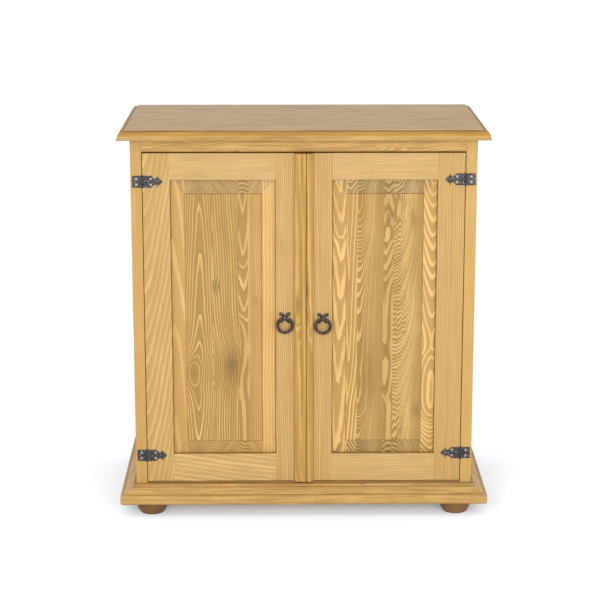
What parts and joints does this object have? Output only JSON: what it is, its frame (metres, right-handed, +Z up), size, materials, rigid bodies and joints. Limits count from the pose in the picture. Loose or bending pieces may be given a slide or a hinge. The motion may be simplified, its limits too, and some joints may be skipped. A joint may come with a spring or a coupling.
{
  "type": "two-door cupboard",
  "caption": "Rustic waxed-pine cupboard with framed raised-panel doors on flat arrow hinges, ring pulls, a moulded top, an ogee plinth, bun feet and shelves inside.",
  "frame": {"origin": "on the floor, at the middle of the footprint, which is the base board's outline", "axes": "+Z up, +Y towards the back, so the doors face -Y; +X to the right as seen from the front"},
  "size_m": [0.978, 0.511, 1.037],
  "materials": {
    "waxed_pine": "honey wax, satin",
    "panel_pine": "honey wax over strongly figured boards, satin",
    "bead_pine": "honey wax, satin",
    "top_pine": "honey wax, dulled, satin",
    "raw_pine": "planed, unwaxed, matt",
    "foot_pine": "turned, brown wax, satin",
    "black_iron": "hammered, blackened",
    "ring_iron": "forged, brown-black",
    "screw_steel": "zinc plated",
    "catch_plastic": "moulded, matt"
  },
  "bodies": {
    "cabinet": {"top_board": "top_pine", "left_side": "waxed_pine", "right_side": "waxed_pine", "cabinet_floor": "waxed_pine", "frieze_rail": "waxed_pine", "rear_top_rail": "raw_pine", "door_stop": "raw_pine", "back_boards": "raw_pine", "base_board": "waxed_pine", "plinth_moulding_front": "waxed_pine", "plinth_moulding_left": "waxed_pine", "plinth_moulding_right": "waxed_pine", "front_left_foot": "foot_pine", "front_right_foot": "foot_pine", "rear_left_foot": "foot_pine", "rear_right_foot": "foot_pine", "upper_shelf": "raw_pine", "lower_shelf": "raw_pine", "upper_left_batten": "raw_pine", "upper_right_batten": "raw_pine", "lower_left_batten": "raw_pine", "lower_right_batten": "raw_pine", "batten_screws": "screw_steel", "glue_blocks": "raw_pine", "left_catch": "catch_plastic", "right_catch": "catch_plastic", "upper_left_frame_leaf": "black_iron", "upper_right_frame_leaf": "black_iron", "lower_left_frame_leaf": "black_iron", "lower_right_frame_leaf": "black_iron", "hinge_pins": "black_iron", "frame_leaf_screws": "screw_steel"},
    "left_door": {"left_hinge_stile": "waxed_pine", "left_meeting_stile": "waxed_pine", "left_door_top_rail": "waxed_pine", "left_door_bottom_rail": "waxed_pine", "left_door_panel": "panel_pine", "left_meeting_bead": "bead_pine", "left_upper_door_leaf": "black_iron", "left_lower_door_leaf": "black_iron", "left_door_leaf_screws": "screw_steel", "left_strike_plate": "screw_steel", "left_rosette": "black_iron", "left_staple": "black_iron"},
    "right_door": {"right_hinge_stile": "waxed_pine", "right_meeting_stile": "waxed_pine", "right_door_top_rail": "waxed_pine", "right_door_bottom_rail": "waxed_pine", "right_door_panel": "panel_pine", "right_meeting_bead": "bead_pine", "right_upper_door_leaf": "black_iron", "right_lower_door_leaf": "black_iron", "right_door_leaf_screws": "screw_steel", "right_strike_plate": "screw_steel", "right_rosette": "black_iron", "right_staple": "black_iron"},
    "left_ring": {"left_ring": "ring_iron"},
    "right_ring": {"right_ring": "ring_iron"}
  },
  "joints": [
    {"name": "left_door_hinge", "type": "hinge", "parent": "cabinet", "child": "left_door", "pos_m": [-0.418, -0.218, 0.5315], "axis": [0, 0, -1], "range_deg": [0, 170]},
    {"name": "right_door_hinge", "type": "hinge", "parent": "cabinet", "child": "right_door", "pos_m": [0.418, -0.218, 0.5315], "axis": [0, 0, 1], "range_deg": [0, 170]},
    {"name": "left_ring_swing", "type": "hinge", "parent": "left_door", "child": "left_ring", "pos_m": [-0.05, -0.2243, 0.5385], "axis": [-1, 0, 0], "range_deg": [-5, 175]},
    {"name": "right_ring_swing", "type": "hinge", "parent": "right_door", "child": "right_ring", "pos_m": [0.05, -0.2243, 0.536], "axis": [-1, 0, 0], "range_deg": [-5, 175]}
  ]
}
